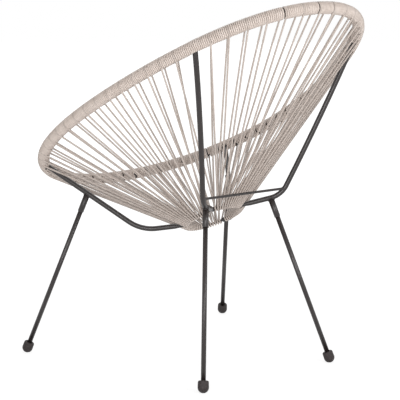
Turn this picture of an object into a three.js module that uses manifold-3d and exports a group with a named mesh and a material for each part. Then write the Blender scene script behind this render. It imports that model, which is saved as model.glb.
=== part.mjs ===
// A cord-strung patio chair: an egg-shaped rim and a small seat ring are laced together with one cord,
// four bent arms carry both, and four legs plug into sockets on the arms.
// Millimetres, +Z up, floor at Z = 0. The sitter faces -Y and has the left hand at +X.
import * as THREE from "three";
import { mergeVertices } from "three/addons/utils/BufferGeometryUtils.js";
import Module from "manifold-3d";

const wasm = await Module();
wasm.setup();

// Rim: a steel loop that lies in one tilted plane, low at the knees and high behind the head
const rimHalfWidth = 341;
const rimEggWidth = 24; // broadens the knee end and narrows the head end
const rimShoulderWidth = 3; // fills out both shoulders of the egg
const rimTaperWidth = 5; // straightens the flanks behind the arms
const rimHalfLength = 439.5;
const rimCentreHeight = 608.5;
const rimTiltDegrees = 30.4;
const rimTubeDiameter = 19;

// Seat ring: a small rod ring at the bottom of the seat, parallel to the rim
const seatRingRadius = 67.5;
const seatRingRodDiameter = 6;
const seatRingSetback = 27;
const seatRingDrop = 267.5; // below the rim's centre

// Cord: wound round the rim, and laced over the rim and under the seat ring at every station
const cordDiameter = 4;
const frontStations = 19;
const sideStations = 16;
const rearStations = 14;
const cordLengths = 17; // the cord is split into this many nodes
// Rim between an arm and the nearest cord over it, where that isn't half a step
const frontArmFlankRim = 28;
const rearArmFlankRim = 46;
const rearArmBackRim = 37; // behind the head, past the left arm
const seatingGap = 0.3; // between pieces that touch
const jointGap = 0.3; // between two lengths of the same cord

// Arms: one tube each, from the rim through a bend to the seat ring
const armDiameter = 12;
const armTipDiameter = 8; // drawn-in end that fits between the cord loops
const armTipLength = 30;
const armNeckLength = 12; // over which the tube is drawn in
const frontArmRimDegrees = 47.5; // round the rim from the middle of the knee end
const rearArmRimDegrees = 130.8;
const frontArmRingDegrees = 58.5; // round the seat ring from its knee side
const rearArmRingDegrees = 143.5;
// Room that the cord loops leave on either side of each arm's end on the seat ring
const frontWeldKneeDegrees = 7.5;
const frontWeldFlankDegrees = 5.5;
const rearWeldFlankDegrees = 10.5;
const rearWeldBackDegrees = 4.5;
const frontCornerAside = 139;
const frontCornerForward = 66.3;
const frontCornerDrop = 29.5; // below the seat ring's centre
const rearCornerAside = 118;
const rearCornerBack = 133.7;
const rearCornerRise = 52; // above the seat ring's centre
const frontBendRadius = 95;
const rearBendRadius = 55;
const rearArmBow = 4; // how far each rear arm bulges backwards between rim and bend

// Brace: a thin rod between the rear arms, just inside their bends
const braceDiameter = 6;
const braceDrop = 10; // round the bend from where it starts

// Legs, their sockets and the foot caps
const legDiameter = 11;
const legWall = 1.2;
const socketDiameter = 14;
const socketLength = 47; // from the arm's axis to the open end
const legInsertion = 34;
const frontFootAside = 309.8;
const frontFootForward = 304.7;
const rearFootAside = 194.2;
const rearFootBack = 226.4;
const frontSocketDrop = 123.7; // down the front arm from the rim's axis
const capDiameter = 25;
const capHeight = 27;
const capToe = 5; // how far the round toe would reach below the floor before it is cut flat
const capFloor = 9; // rubber under the leg's end
const capBelly = 10; // where the round toe meets the straight side
const capShoulder = 19; // where the straight side turns in
const capCollarDiameter = 16;

// Facet counts
const tubeSides = 10;
const rimSides = 8;
const cordSides = 5;
const roundSides = 14;
const capSides = 12;
const bendSteps = 6;
const bowSteps = 4;
const seatRingSteps = 36;
const hookSteps = 4;
const loopSteps = 3;
const capCurveSteps = 3;
const rimSamples = 1440;

const radians = THREE.MathUtils.degToRad;
const fullTurn = 2 * Math.PI;
const halfTurn = Math.PI;
const stationCount = frontStations + 2 * sideStations + rearStations;
const cordRadius = cordDiameter / 2;
const seatRingHeight = rimCentreHeight - seatRingDrop;
const windingInnerRadius = rimTubeDiameter / 2 + seatingGap;
const windingOuterRadius = windingInnerRadius + cordDiameter;
const overrun = 2 * socketDiameter; // how far a cutting body runs past what it cuts

const steel = new THREE.MeshStandardMaterial({ color: 0x4a494d, roughness: 0.45, metalness: 0.6 });
const cordPlastic = new THREE.MeshStandardMaterial({ color: 0xc3b5a8, roughness: 0.6, metalness: 0 });
const windingPlastic = new THREE.MeshStandardMaterial({ color: 0xb5a89b, roughness: 0.65, metalness: 0 });
const rubber = new THREE.MeshStandardMaterial({ color: 0x1d1c1e, roughness: 0.7, metalness: 0 });

const chair = new THREE.Group();

function addPiece(name, geometry, material) {
  const mesh = new THREE.Mesh(geometry, material);
  mesh.name = name;
  chair.add(mesh);
}

// Solids for boolean cuts

function solidOf(geometry) {
  const bare = new THREE.BufferGeometry();
  const source = geometry.index ? geometry.toNonIndexed() : geometry;
  bare.setAttribute("position", source.getAttribute("position").clone());
  const merged = mergeVertices(bare);
  const vertProperties = merged.getAttribute("position").array;
  const triVerts = new Uint32Array(merged.index.array);
  return new wasm.Manifold(new wasm.Mesh({ numProp: 3, vertProperties, triVerts }));
}

function geometryOf(solid) {
  const mesh = solid.getMesh();
  const geometry = new THREE.BufferGeometry();
  geometry.setAttribute("position", new THREE.BufferAttribute(new Float32Array(mesh.vertProperties), 3));
  geometry.setIndex(new THREE.BufferAttribute(new Uint32Array(mesh.triVerts), 1));
  const flat = geometry.toNonIndexed();
  flat.computeVertexNormals();
  return flat;
}

function cut(geometry, ...cutters) {
  let solid = solidOf(geometry);
  for (const cutter of cutters) solid = solid.subtract(solidOf(cutter));
  return geometryOf(solid);
}

// A skin from quads and triangles of Vector3 corners that run anticlockwise seen from outside
function skin(faces) {
  const positions = [];
  for (const face of faces) {
    for (let i = 1; i < face.length - 1; i++) {
      for (const corner of [face[0], face[i], face[i + 1]]) positions.push(corner.x, corner.y, corner.z);
    }
  }
  const geometry = new THREE.BufferGeometry();
  geometry.setAttribute("position", new THREE.Float32BufferAttribute(positions, 3));
  geometry.computeVertexNormals();
  return geometry;
}

// Joins rings of corners into a tube, closed on itself or capped at both ends
function tubeFromRings(rings, closed) {
  const faces = [];
  const last = closed ? rings.length : rings.length - 1;
  for (let i = 0; i < last; i++) {
    const here = rings[i];
    const next = rings[(i + 1) % rings.length];
    for (let k = 0; k < here.length; k++) {
      const k2 = (k + 1) % here.length;
      faces.push([here[k], here[k2], next[k2], next[k]]);
    }
  }
  if (!closed) faces.push([...rings[0]].reverse(), rings[rings.length - 1]);
  return skin(faces);
}

// A polygon-section tube through points, mitred at each. across[i] is the direction of its first corner there.
function sweep(points, radii, sides, across) {
  const rings = points.map((point, i) => {
    const back = i > 0 ? point.clone().sub(points[i - 1]).normalize() : null;
    const ahead = i < points.length - 1 ? points[i + 1].clone().sub(point).normalize() : null;
    const along = (back ?? ahead).clone().add(ahead ?? back).normalize();
    const stretch = back && ahead ? 1 / along.dot(ahead) : 1;
    const side = across[i].clone().addScaledVector(along, -across[i].dot(along)).normalize();
    const normal = along.clone().cross(side);
    return Array.from({ length: sides }, (_, k) => {
      const turn = (fullTurn * k) / sides;
      return point
        .clone()
        .addScaledVector(side, radii[i] * Math.cos(turn))
        .addScaledVector(normal, radii[i] * stretch * Math.sin(turn));
    });
  });
  return tubeFromRings(rings, false);
}

function sweepPlain(points, diameter, sides, across) {
  return sweep(points, points.map(() => diameter / 2), sides, points.map(() => across));
}

// The rim and the seat ring as curves

const rimTilt = radians(rimTiltDegrees);
const planeBack = new THREE.Vector3(0, Math.cos(rimTilt), Math.sin(rimTilt));

function rimPoint(angle) {
  const aside =
    rimHalfWidth * Math.sin(angle) +
    rimEggWidth * Math.sin(2 * angle) +
    rimShoulderWidth * Math.sin(3 * angle) -
    rimTaperWidth * Math.sin(4 * angle);
  return new THREE.Vector3(aside, 0, rimCentreHeight).addScaledVector(planeBack, -rimHalfLength * Math.cos(angle));
}

function rimTangent(angle) {
  const aside =
    rimHalfWidth * Math.cos(angle) +
    2 * rimEggWidth * Math.cos(2 * angle) +
    3 * rimShoulderWidth * Math.cos(3 * angle) -
    4 * rimTaperWidth * Math.cos(4 * angle);
  return new THREE.Vector3(aside, 0, 0).addScaledVector(planeBack, rimHalfLength * Math.sin(angle)).normalize();
}

const rimReach = [0];
for (let i = 1; i <= rimSamples; i++) {
  const step = rimPoint((fullTurn * i) / rimSamples).distanceTo(rimPoint((fullTurn * (i - 1)) / rimSamples));
  rimReach.push(rimReach[i - 1] + step);
}
const rimLength = rimReach[rimSamples];

// Distance round the rim to angle, and back
function rimPlace(angle) {
  const share = (angle / fullTurn) * rimSamples;
  const i = Math.min(Math.floor(share), rimSamples - 1);
  return rimReach[i] + (share - i) * (rimReach[i + 1] - rimReach[i]);
}

function rimAngle(place) {
  const turns = Math.floor(place / rimLength);
  const inside = place - turns * rimLength;
  const i = Math.max(rimReach.findIndex((reach) => reach > inside), 1);
  const share = (inside - rimReach[i - 1]) / (rimReach[i] - rimReach[i - 1]);
  return fullTurn * (turns + (i - 1 + share) / rimSamples);
}

function ringPoint(angle) {
  return new THREE.Vector3(seatRingRadius * Math.sin(angle), seatRingSetback, seatRingHeight).addScaledVector(
    planeBack,
    -seatRingRadius * Math.cos(angle),
  );
}

function ringTangent(angle) {
  return new THREE.Vector3(Math.cos(angle), 0, 0).addScaledVector(planeBack, Math.sin(angle));
}

// The four arms divide both loops into a front, a left, a rear and a right arc
const frontArmPlace = rimPlace(radians(frontArmRimDegrees));
const rearArmPlace = rimPlace(radians(rearArmRimDegrees));
const frontWeld = radians(frontArmRingDegrees);
const rearWeld = radians(rearArmRingDegrees);
const rimMarks = [-frontArmPlace, frontArmPlace, rearArmPlace, rimLength - rearArmPlace, rimLength - frontArmPlace];
const ringMarks = [-frontWeld, frontWeld, rearWeld, fullTurn - rearWeld, fullTurn - frontWeld];
const arcStations = [frontStations, sideStations, rearStations, sideStations];

// The seat ring's angle that faces a place on the rim
function facingAngle(place) {
  const arc = Math.max(rimMarks.findLastIndex((mark) => mark <= place), 0);
  const from = rimMarks[arc];
  const to = rimMarks[arc + 1] ?? from + 2 * frontArmPlace;
  const ringTo = ringMarks[arc + 1] ?? ringMarks[arc] + 2 * frontWeld;
  return ringMarks[arc] + ((place - from) / (to - from)) * (ringTo - ringMarks[arc]);
}

// Frame on the rim: down runs towards the seat ring, out points away from the seat's inside
function rimFrame(place) {
  const angle = rimAngle(place);
  const centre = rimPoint(angle);
  const tangent = rimTangent(angle);
  const strand = ringPoint(facingAngle(place)).sub(centre).normalize();
  const lean = strand.dot(tangent);
  const down = strand.clone().addScaledVector(tangent, -lean).normalize();
  const out = down.clone().cross(tangent);
  return { centre, tangent, down, out, slope: lean / Math.sqrt(1 - lean * lean) };
}

const arcRims = [
  {},
  { after: frontArmFlankRim, before: rearArmFlankRim },
  { after: rearArmBackRim },
  { after: rearArmFlankRim, before: frontArmFlankRim },
];
const stations = arcStations.flatMap((count, arc) => {
  const { after, before } = arcRims[arc];
  const halfSteps = (after === undefined ? 1 : 0) + (before === undefined ? 1 : 0);
  const length = rimMarks[arc + 1] - rimMarks[arc] - (after ?? 0) - (before ?? 0);
  const step = length / (count - 1 + halfSteps / 2);
  return Array.from({ length: count }, (_, k) => {
    const place = rimMarks[arc] + (after ?? step / 2) + k * step;
    return { place, ...rimFrame(place) };
  });
});

// Loop i hangs between station i and the next. The loops that face the arms lie on the front and rear arcs.
const arcLoops = [frontStations + 1, sideStations - 1, rearStations + 1, sideStations - 1];
const arcRooms = [
  [frontWeldKneeDegrees, frontWeldKneeDegrees],
  [frontWeldFlankDegrees, rearWeldFlankDegrees],
  [rearWeldBackDegrees, rearWeldBackDegrees],
  [rearWeldFlankDegrees, frontWeldFlankDegrees],
].map((rooms) => rooms.map(radians));
const loopAngles = arcLoops.flatMap((count, arc) => {
  const from = ringMarks[arc] + arcRooms[arc][0];
  const to = ringMarks[arc + 1] - arcRooms[arc][1];
  return Array.from({ length: count }, (_, k) => from + (k / (count - 1)) * (to - from));
});
const loops = stations.map((station, i) => {
  const angle = loopAngles[(i + 1) % stationCount];
  const centre = ringPoint(angle);
  const tangent = ringTangent(angle);
  const next = stations[(i + 1) % stationCount];
  const up = station.centre.clone().add(next.centre).multiplyScalar(0.5).sub(centre);
  up.addScaledVector(tangent, -up.dot(tangent)).normalize();
  const out = tangent.clone().cross(up);
  return { centre, tangent, up, out };
});

// Arm centre lines: down from the rim, round a bend and on to the seat ring

const mirrored = (vector, side) => new THREE.Vector3(vector.x * side, vector.y, vector.z);

function armPath(top, corner, tip, bendRadius, bow) {
  const fall = corner.clone().sub(top).normalize();
  const bar = tip.clone().sub(corner).normalize();
  const bendAngle = fall.angleTo(bar);
  const setback = bendRadius * Math.tan(bendAngle / 2);
  const bendStart = corner.clone().addScaledVector(fall, -setback);
  const inward = bar.clone().addScaledVector(fall, -bar.dot(fall)).normalize();
  const bendCentre = bendStart.clone().addScaledVector(inward, bendRadius);
  const points = [];
  for (let k = 0; k < bowSteps; k++) {
    const share = k / bowSteps;
    const point = top.clone().lerp(bendStart, share);
    point.y += 4 * bow * share * (1 - share);
    points.push(point);
  }
  for (let k = 0; k <= bendSteps; k++) {
    const turn = (bendAngle * k) / bendSteps;
    points.push(
      bendCentre
        .clone()
        .addScaledVector(inward, -bendRadius * Math.cos(turn))
        .addScaledVector(fall, bendRadius * Math.sin(turn)),
    );
  }
  for (const back of [armTipLength + armNeckLength, armTipLength, 0]) {
    points.push(tip.clone().addScaledVector(bar, -back));
  }
  return { points, across: fall.clone().cross(bar).normalize(), fall, bar };
}

function armPathOf(end, side) {
  const front = end === "front";
  const rimAngleHere = rimAngle(front ? frontArmPlace : rearArmPlace);
  const weld = front ? frontWeld : rearWeld;
  const corner = front
    ? new THREE.Vector3(frontCornerAside, -frontCornerForward, seatRingHeight - frontCornerDrop)
    : new THREE.Vector3(rearCornerAside, rearCornerBack, seatRingHeight + rearCornerRise);
  const path = armPath(
    mirrored(rimPoint(rimAngleHere), side),
    mirrored(corner, side),
    mirrored(ringPoint(weld), side),
    front ? frontBendRadius : rearBendRadius,
    front ? 0 : rearArmBow,
  );
  path.rimTangent = mirrored(rimTangent(rimAngleHere), side);
  path.ringTangent = mirrored(ringTangent(weld), side);
  return path;
}

const sides = [
  { word: "left", side: 1 },
  { word: "right", side: -1 },
];

// Rim tube and the cord wound round it, as cells between corner lines that both share

function rimCorners(place, radius) {
  const { centre, down, out } = rimFrame(place);
  return Array.from({ length: rimSides }, (_, k) => {
    const turn = (fullTurn * (k - 0.5)) / rimSides;
    return centre
      .clone()
      .addScaledVector(down, radius * Math.cos(turn))
      .addScaledVector(out, radius * Math.sin(turn));
  });
}

const everyCell = Array.from({ length: rimSides }, (_, k) => k);
const underCell = [0]; // the winding's underside, between the two strands of a station
const overCells = everyCell.slice(2, -1); // the winding's back, over an arm's end

// The winding stops where a round body of this radius leaves the rim, square to it or aslant. The body crosses
// the winding's thickness, and slides along the rim by its slope as it goes.
function windingGap(place, slope, bodyRadius, reachFrom, reachTo) {
  const half = bodyRadius * Math.hypot(1, slope) + seatingGap;
  const slides = [reachFrom * slope, reachTo * slope];
  return [place - half + Math.min(...slides), place + half + Math.max(...slides)];
}

// Where each arm's end needs a slot in the winding, in order round the rim
const armSlots = [
  ["front", 1],
  ["rear", 1],
  ["rear", -1],
  ["front", -1],
].map(([end, side], i) => {
  const place = rimMarks[i + 1];
  const { tangent } = rimFrame(place);
  const lean = armPathOf(end, side).fall.dot(tangent);
  const slope = lean / Math.sqrt(1 - lean * lean);
  const nearest = Math.sqrt(windingInnerRadius ** 2 - (armDiameter / 2) ** 2);
  return windingGap(place, slope, armDiameter / 2, nearest, windingOuterRadius);
});

const strandGap = (station) => windingGap(station.place, station.slope, cordRadius, 0, windingInnerRadius);

// Spans of the winding after station i up to the next one, each with the cells that it fills
function windingSpans(i) {
  const from = strandGap(stations[i])[1];
  const wrap = i + 1 === stationCount ? rimLength : 0;
  const to = strandGap(stations[(i + 1) % stationCount])[0] + wrap;
  const arm = armSlots.find((slot) => slot[0] > from && slot[1] < to);
  if (arm === undefined) return [{ from, to, cells: everyCell }];
  return [
    { from, to: arm[0], cells: everyCell },
    { from: arm[0], to: arm[1], cells: overCells },
    { from: arm[1], to, cells: everyCell },
  ];
}

function windingGeometry(spans) {
  const ends = [...spans.map((span) => span.from), spans[spans.length - 1].to];
  const inner = ends.map((place) => rimCorners(place, windingInnerRadius));
  const outer = ends.map((place) => rimCorners(place, windingOuterRadius));
  const filled = (i, k) => i >= 0 && i < spans.length && spans[i].cells.includes((k + rimSides) % rimSides);
  const faces = [];
  spans.forEach((span, i) => {
    for (const k of span.cells) {
      const k2 = (k + 1) % rimSides;
      faces.push([outer[i][k], outer[i + 1][k], outer[i + 1][k2], outer[i][k2]]);
      faces.push([inner[i][k], inner[i][k2], inner[i + 1][k2], inner[i + 1][k]]);
      if (!filled(i, k - 1)) faces.push([inner[i][k], inner[i + 1][k], outer[i + 1][k], outer[i][k]]);
      if (!filled(i, k + 1)) faces.push([inner[i][k2], outer[i][k2], outer[i + 1][k2], inner[i + 1][k2]]);
      if (!filled(i - 1, k)) faces.push([inner[i][k], outer[i][k], outer[i][k2], inner[i][k2]]);
      if (!filled(i + 1, k)) {
        faces.push([inner[i + 1][k], inner[i + 1][k2], outer[i + 1][k2], outer[i + 1][k]]);
      }
    }
  });
  return skin(faces);
}

const rimBreaks = stations
  .flatMap((station, i) => [...strandGap(station), ...windingSpans(i).map((span) => span.to)])
  .sort((a, b) => a - b)
  .filter((place, i, all) => i === 0 || place - all[i - 1] > seatingGap);
const rimRings = rimBreaks.map((place) => rimCorners(place, rimTubeDiameter / 2).reverse());
addPiece("rim_tube", tubeFromRings(rimRings, true), steel);

const twoDigits = (number) => String(number).padStart(2, "0");
const lengthStart = (n) => Math.round((n * stationCount) / cordLengths);

for (let n = 0; n < cordLengths; n++) {
  const spans = [];
  for (let i = lengthStart(n); i < lengthStart(n + 1); i++) {
    if (spans.length) spans.push({ from: spans[spans.length - 1].to, cells: underCell });
    spans.push(...windingSpans(i));
  }
  addPiece(`rim_winding_${twoDigits(n + 1)}`, windingGeometry(spans), windingPlastic);
}

// Web cord: up the inside of the seat, over the rim, down the outside and under the seat ring

const hookRadius = (rimTubeDiameter / 2 + seatingGap + cordRadius) / Math.cos(halfTurn / hookSteps / 2);
const loopRadius = (seatRingRodDiameter / 2 + seatingGap + cordRadius) / Math.cos(halfTurn / loopSteps / 2);

function hookPoints(station) {
  return Array.from({ length: hookSteps + 1 }, (_, k) => {
    const turn = halfTurn * (1 - k / hookSteps);
    return {
      point: station.centre
        .clone()
        .addScaledVector(station.out, hookRadius * Math.cos(turn))
        .addScaledVector(station.down, -hookRadius * Math.sin(turn)),
      across: station.tangent,
    };
  });
}

function loopPoint(loop, turn, radius) {
  return {
    point: loop.centre
      .clone()
      .addScaledVector(loop.out, radius * Math.cos(turn))
      .addScaledVector(loop.up, -radius * Math.sin(turn)),
    across: loop.tangent,
  };
}

function loopPoints(loop) {
  return Array.from({ length: loopSteps + 1 }, (_, k) => loopPoint(loop, (halfTurn * k) / loopSteps, loopRadius));
}

// The middle of a loop, half a joint gap short of or past its lowest point
function loopMiddle(loop, towards) {
  const low = loopPoint(loop, halfTurn / 2, loopRadius * Math.cos(halfTurn / loopSteps / 2));
  low.point.addScaledVector(loop.out, (towards * jointGap) / 2);
  return low;
}

function cordLength(n) {
  const first = lengthStart(n);
  const last = lengthStart(n + 1);
  const startLoop = loops[(first + stationCount - 1) % stationCount];
  const half = Math.ceil((loopSteps + 1) / 2);
  const path = [loopMiddle(startLoop, -1), ...loopPoints(startLoop).slice(half)];
  for (let i = first; i < last; i++) {
    path.push(...hookPoints(stations[i]));
    if (i < last - 1) path.push(...loopPoints(loops[i]));
  }
  path.push(...loopPoints(loops[last - 1]).slice(0, half), loopMiddle(loops[last - 1], 1));
  return path;
}

for (let n = 0; n < cordLengths; n++) {
  const path = cordLength(n);
  const points = path.map((place) => place.point);
  const across = path.map((place) => place.across);
  const geometry = sweep(points, points.map(() => cordRadius), cordSides, across);
  addPiece(`web_cord_${twoDigits(n + 1)}`, geometry, cordPlastic);
}

// The least gap between neighbouring loops, measured on the corners of their inner sides
function leastLoopGap() {
  let least = Infinity;
  loops.forEach((loop, i) => {
    const next = loops[(i + 1) % stationCount];
    const corner = (place, turn) =>
      loopPoint(place, halfTurn, loopRadius).point.addScaledVector(place.tangent, cordRadius * Math.cos(turn));
    for (let k = 0; k < cordSides; k++) {
      const turn = (fullTurn * k) / cordSides;
      const gap = corner(loop, 0).distanceTo(corner(next, turn));
      least = Math.min(least, gap);
    }
  });
  return least;
}
console.log(`least gap between cord loops on the seat ring ${leastLoopGap().toFixed(2)} mm`);

// Seat ring

const ringCentres = Array.from({ length: seatRingSteps }, (_, i) => (fullTurn * i) / seatRingSteps);
const planeNormal = new THREE.Vector3(0, -Math.sin(rimTilt), Math.cos(rimTilt));
const ringRings = ringCentres.map((angle) => {
  const outward = ringTangent(angle).cross(planeNormal);
  return Array.from({ length: rimSides }, (_, k) => {
    const turn = (fullTurn * k) / rimSides;
    return ringPoint(angle)
      .addScaledVector(outward, (seatRingRodDiameter / 2) * Math.cos(turn))
      .addScaledVector(planeNormal, (-seatRingRodDiameter / 2) * Math.sin(turn));
  });
});
addPiece("seat_ring", tubeFromRings(ringRings, true), steel);

// Arms

function armSolid(path, extra) {
  const last = path.points.length - 1;
  const radii = path.points.map((_, i) => (i >= last - 1 ? armTipDiameter : armDiameter) / 2 + extra);
  return sweep(path.points, radii, tubeSides, path.points.map(() => path.across));
}

// A round bar along a direction, centred on a point, for cutting saddles
function bar(centre, direction, radius, length) {
  const geometry = new THREE.CylinderGeometry(radius, radius, length, 2 * tubeSides);
  geometry.applyQuaternion(new THREE.Quaternion().setFromUnitVectors(THREE.Object3D.DEFAULT_UP, direction));
  geometry.translate(centre.x, centre.y, centre.z);
  return geometry;
}

for (const end of ["front", "rear"]) {
  for (const { word, side } of sides) {
    const path = armPathOf(end, side);
    const top = path.points[0];
    const tip = path.points[path.points.length - 1];
    const saddles = [
      bar(top, path.rimTangent, windingInnerRadius, 2 * overrun),
      bar(tip, path.ringTangent, seatRingRodDiameter / 2 + seatingGap, overrun),
    ];
    addPiece(`${end}_arm_${word}`, cut(armSolid(path, 0), ...saddles), steel);
  }
}

// The point a distance down an arm's centre line from the start of its bend
function pointPastBendStart(path, distance) {
  let i = bowSteps;
  let left = distance;
  while (left > path.points[i].distanceTo(path.points[i + 1])) {
    left -= path.points[i].distanceTo(path.points[i + 1]);
    i += 1;
  }
  return path.points[i].clone().lerp(path.points[i + 1], left / path.points[i].distanceTo(path.points[i + 1]));
}

const braceEnds = sides.map(({ side }) => pointPastBendStart(armPathOf("rear", side), braceDrop));
const braceArms = sides.map(({ side }) => armSolid(armPathOf("rear", side), seatingGap));
const braceRod = sweepPlain(braceEnds, braceDiameter, tubeSides, THREE.Object3D.DEFAULT_UP);
addPiece("rear_brace", cut(braceRod, ...braceArms), steel);

// Sockets, legs and foot caps. Each is turned about the leg's axis, which runs from the arm down to the floor.

function legAxis(end, side) {
  const path = armPathOf(end, side);
  const front = end === "front";
  const bendEnd = path.points[bowSteps + bendSteps];
  const top = front ? path.points[0].clone().addScaledVector(path.fall, frontSocketDrop) : bendEnd.clone();
  const foot = front
    ? new THREE.Vector3(frontFootAside, -frontFootForward, 0)
    : new THREE.Vector3(rearFootAside, rearFootBack, 0);
  return { top, foot: mirrored(foot, side), path };
}

// A body turned from an outline, with the outline's Y measured up the leg's axis from its foot
function turned(outline, axis, count) {
  const geometry = new THREE.LatheGeometry(outline, count);
  const up = axis.top.clone().sub(axis.foot).normalize();
  geometry.applyQuaternion(new THREE.Quaternion().setFromUnitVectors(THREE.Object3D.DEFAULT_UP, up));
  geometry.translate(axis.foot.x, axis.foot.y, axis.foot.z);
  return geometry;
}

function pipe(outerRadius, innerRadius, from, to) {
  return [
    new THREE.Vector2(innerRadius, from),
    new THREE.Vector2(outerRadius, from),
    new THREE.Vector2(outerRadius, to),
    new THREE.Vector2(innerRadius, to),
    new THREE.Vector2(innerRadius, from),
  ];
}

function capOutline() {
  const outline = new THREE.Path();
  outline.moveTo(0, -capToe);
  outline.quadraticCurveTo(capDiameter / 2, -capToe, capDiameter / 2, capBelly);
  outline.lineTo(capDiameter / 2, capShoulder);
  outline.quadraticCurveTo(capDiameter / 2, capHeight, capCollarDiameter / 2, capHeight);
  outline.lineTo(legDiameter / 2 + seatingGap, capHeight);
  outline.lineTo(legDiameter / 2 + seatingGap, capFloor);
  outline.lineTo(0, capFloor);
  return outline.getPoints(capCurveSteps);
}

const floorBlock = new THREE.BoxGeometry(4 * frontFootAside, 4 * frontFootForward, overrun);
floorBlock.translate(0, 0, -overrun / 2);

for (const end of ["front", "rear"]) {
  for (const { word, side } of sides) {
    const axis = legAxis(end, side);
    const height = axis.top.distanceTo(axis.foot);
    const bore = legDiameter / 2 + seatingGap;
    const socketFrom = height - socketLength;
    const socket = turned(pipe(socketDiameter / 2, bore, socketFrom, height), axis, roundSides);
    addPiece(`${end}_leg_socket_${word}`, cut(socket, armSolid(axis.path, seatingGap)), steel);
    const leg = pipe(legDiameter / 2, legDiameter / 2 - legWall, capFloor + seatingGap, socketFrom + legInsertion);
    addPiece(`${end}_leg_${word}`, turned(leg, axis, roundSides), steel);
    addPiece(`${end}_foot_cap_${word}`, cut(turned(capOutline(), axis, capSides), floorBlock), rubber);
  }
}

export default chair;
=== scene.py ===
import bisect
import math
from random import Random

import bmesh
import bpy
from bpy.props import FloatProperty, FloatVectorProperty, IntProperty, PointerProperty
from bpy.types import Operator, Panel, PropertyGroup
from mathutils import Matrix, Vector


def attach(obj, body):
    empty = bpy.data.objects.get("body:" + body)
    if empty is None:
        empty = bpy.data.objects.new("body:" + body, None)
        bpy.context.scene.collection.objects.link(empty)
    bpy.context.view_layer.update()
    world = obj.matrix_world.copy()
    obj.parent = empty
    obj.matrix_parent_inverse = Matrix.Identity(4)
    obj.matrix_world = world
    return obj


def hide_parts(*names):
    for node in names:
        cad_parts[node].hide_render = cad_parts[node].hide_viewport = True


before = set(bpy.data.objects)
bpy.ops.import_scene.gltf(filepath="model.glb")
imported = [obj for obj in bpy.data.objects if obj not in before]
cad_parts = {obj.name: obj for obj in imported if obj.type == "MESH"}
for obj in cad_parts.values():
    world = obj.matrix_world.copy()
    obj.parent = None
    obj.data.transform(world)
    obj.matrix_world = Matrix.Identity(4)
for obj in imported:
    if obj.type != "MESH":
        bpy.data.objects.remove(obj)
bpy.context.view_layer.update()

bl_info = {
    "name": "Cord Chair",
    "version": (1, 0, 0),
    "blender": (4, 5, 0),
    "location": "View3D > Sidebar > Cord Chair",
    "description": "Builds the finished pieces of a cord-strung patio chair round its packed frame",
    "category": "Object",
}

MM = 0.001
BODY = "root"
FULL_TURN = 2 * math.pi
HALF_TURN = math.pi
SIDES = (("left", 1), ("right", -1))
ENDS = ("front", "rear")

# The chair's own sizes, in metres and radians

# Rim and seat ring
RIM_HALF_WIDTH = 341 * MM
RIM_EGG_WIDTH = 24 * MM
RIM_SHOULDER_WIDTH = 3 * MM
RIM_TAPER_WIDTH = 5 * MM
RIM_HALF_LENGTH = 439.5 * MM
RIM_CENTRE_HEIGHT = 608.5 * MM
RIM_TILT = math.radians(30.4)
RIM_TUBE_RADIUS = 9.5 * MM
RING_RADIUS = 67.5 * MM
RING_ROD_RADIUS = 3 * MM
RING_SETBACK = 27 * MM
RING_HEIGHT = 341 * MM
SEATING_GAP = 0.3 * MM

# Stations, where the laced cord passes over the rim: their counts in front, at each side and behind, and the
# rim between an arm and the station next to it
FRONT_STATIONS = 19
SIDE_STATIONS = 16
REAR_STATIONS = 14
FRONT_ARM_FLANK_RIM = 28 * MM
REAR_ARM_FLANK_RIM = 46 * MM
REAR_ARM_BACK_RIM = 37 * MM
CORD_LENGTHS = 17
# Stations where the winding stops short of the hook, and by how many millimetres
SLITS = {
    1: 2.0,
    5: 1.8,
    6: 2.2,
    7: 2.0,
    11: 1.6,
    16: 2.0,
    25: 1.2,
    39: 2.2,
    41: 2.4,
    42: 1.6,
    47: 1.4,
    51: 1.8,
    58: 2.2,
    59: 2.4,
    60: 1.8,
    64: 2.0,
}
# How far the ends of a run of turns dip inwards, how far turns keep from an arm, and along how much of it
WINDING_TUCK = 0.6 * MM
ARM_CLEARANCE = 0.1 * MM
ARM_WATCH_LENGTH = 60 * MM
# Runs of this many points or fewer, cut off beside an arm, are left out
STUB_POINTS = 3

# Arms and brace
ARM_RADIUS = 6 * MM
ARM_TIP_RADIUS = 4 * MM
ARM_TIP_LENGTH = 8 * MM
ARM_NECK_LENGTH = 18 * MM
FRONT_ARM_RIM = math.radians(47.5)
REAR_ARM_RIM = math.radians(130.8)
FRONT_WELD = math.radians(58.5)
REAR_WELD = math.radians(143.5)
FRONT_WELD_KNEE = math.radians(7.5)
FRONT_WELD_FLANK = math.radians(5.5)
REAR_WELD_FLANK = math.radians(10.5)
REAR_WELD_BACK = math.radians(4.5)
FRONT_CORNER = Vector((139, -66.3, 311.5)) * MM
REAR_CORNER = Vector((118, 133.7, 393)) * MM
FRONT_BEND_RADIUS = 95 * MM
REAR_BEND_RADIUS = 55 * MM
REAR_ARM_BOW = 4 * MM
BRACE_RADIUS = 3 * MM
BRACE_DROP = 10 * MM
# How far from the axis of the rim, and of the ring, an arm's end lies, as a share of that tube's radius
ARM_TOP_REACH = 0.9
ARM_TIP_REACH = 0.8

# Legs, sockets and caps
LEG_RADIUS = 5.5 * MM
LEG_WALL = 1.2 * MM
SOCKET_RADIUS = 7 * MM
SOCKET_LENGTH = 47 * MM
LEG_INSERTION = 34 * MM
FRONT_FOOT = Vector((309.8, -304.7, 0)) * MM
REAR_FOOT = Vector((194.2, 226.4, 0)) * MM
FRONT_SOCKET_DROP = 123.7 * MM
CAP_RADIUS = 12.5 * MM
CAP_HEIGHT = 27 * MM
CAP_FLOOR = 9 * MM
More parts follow.
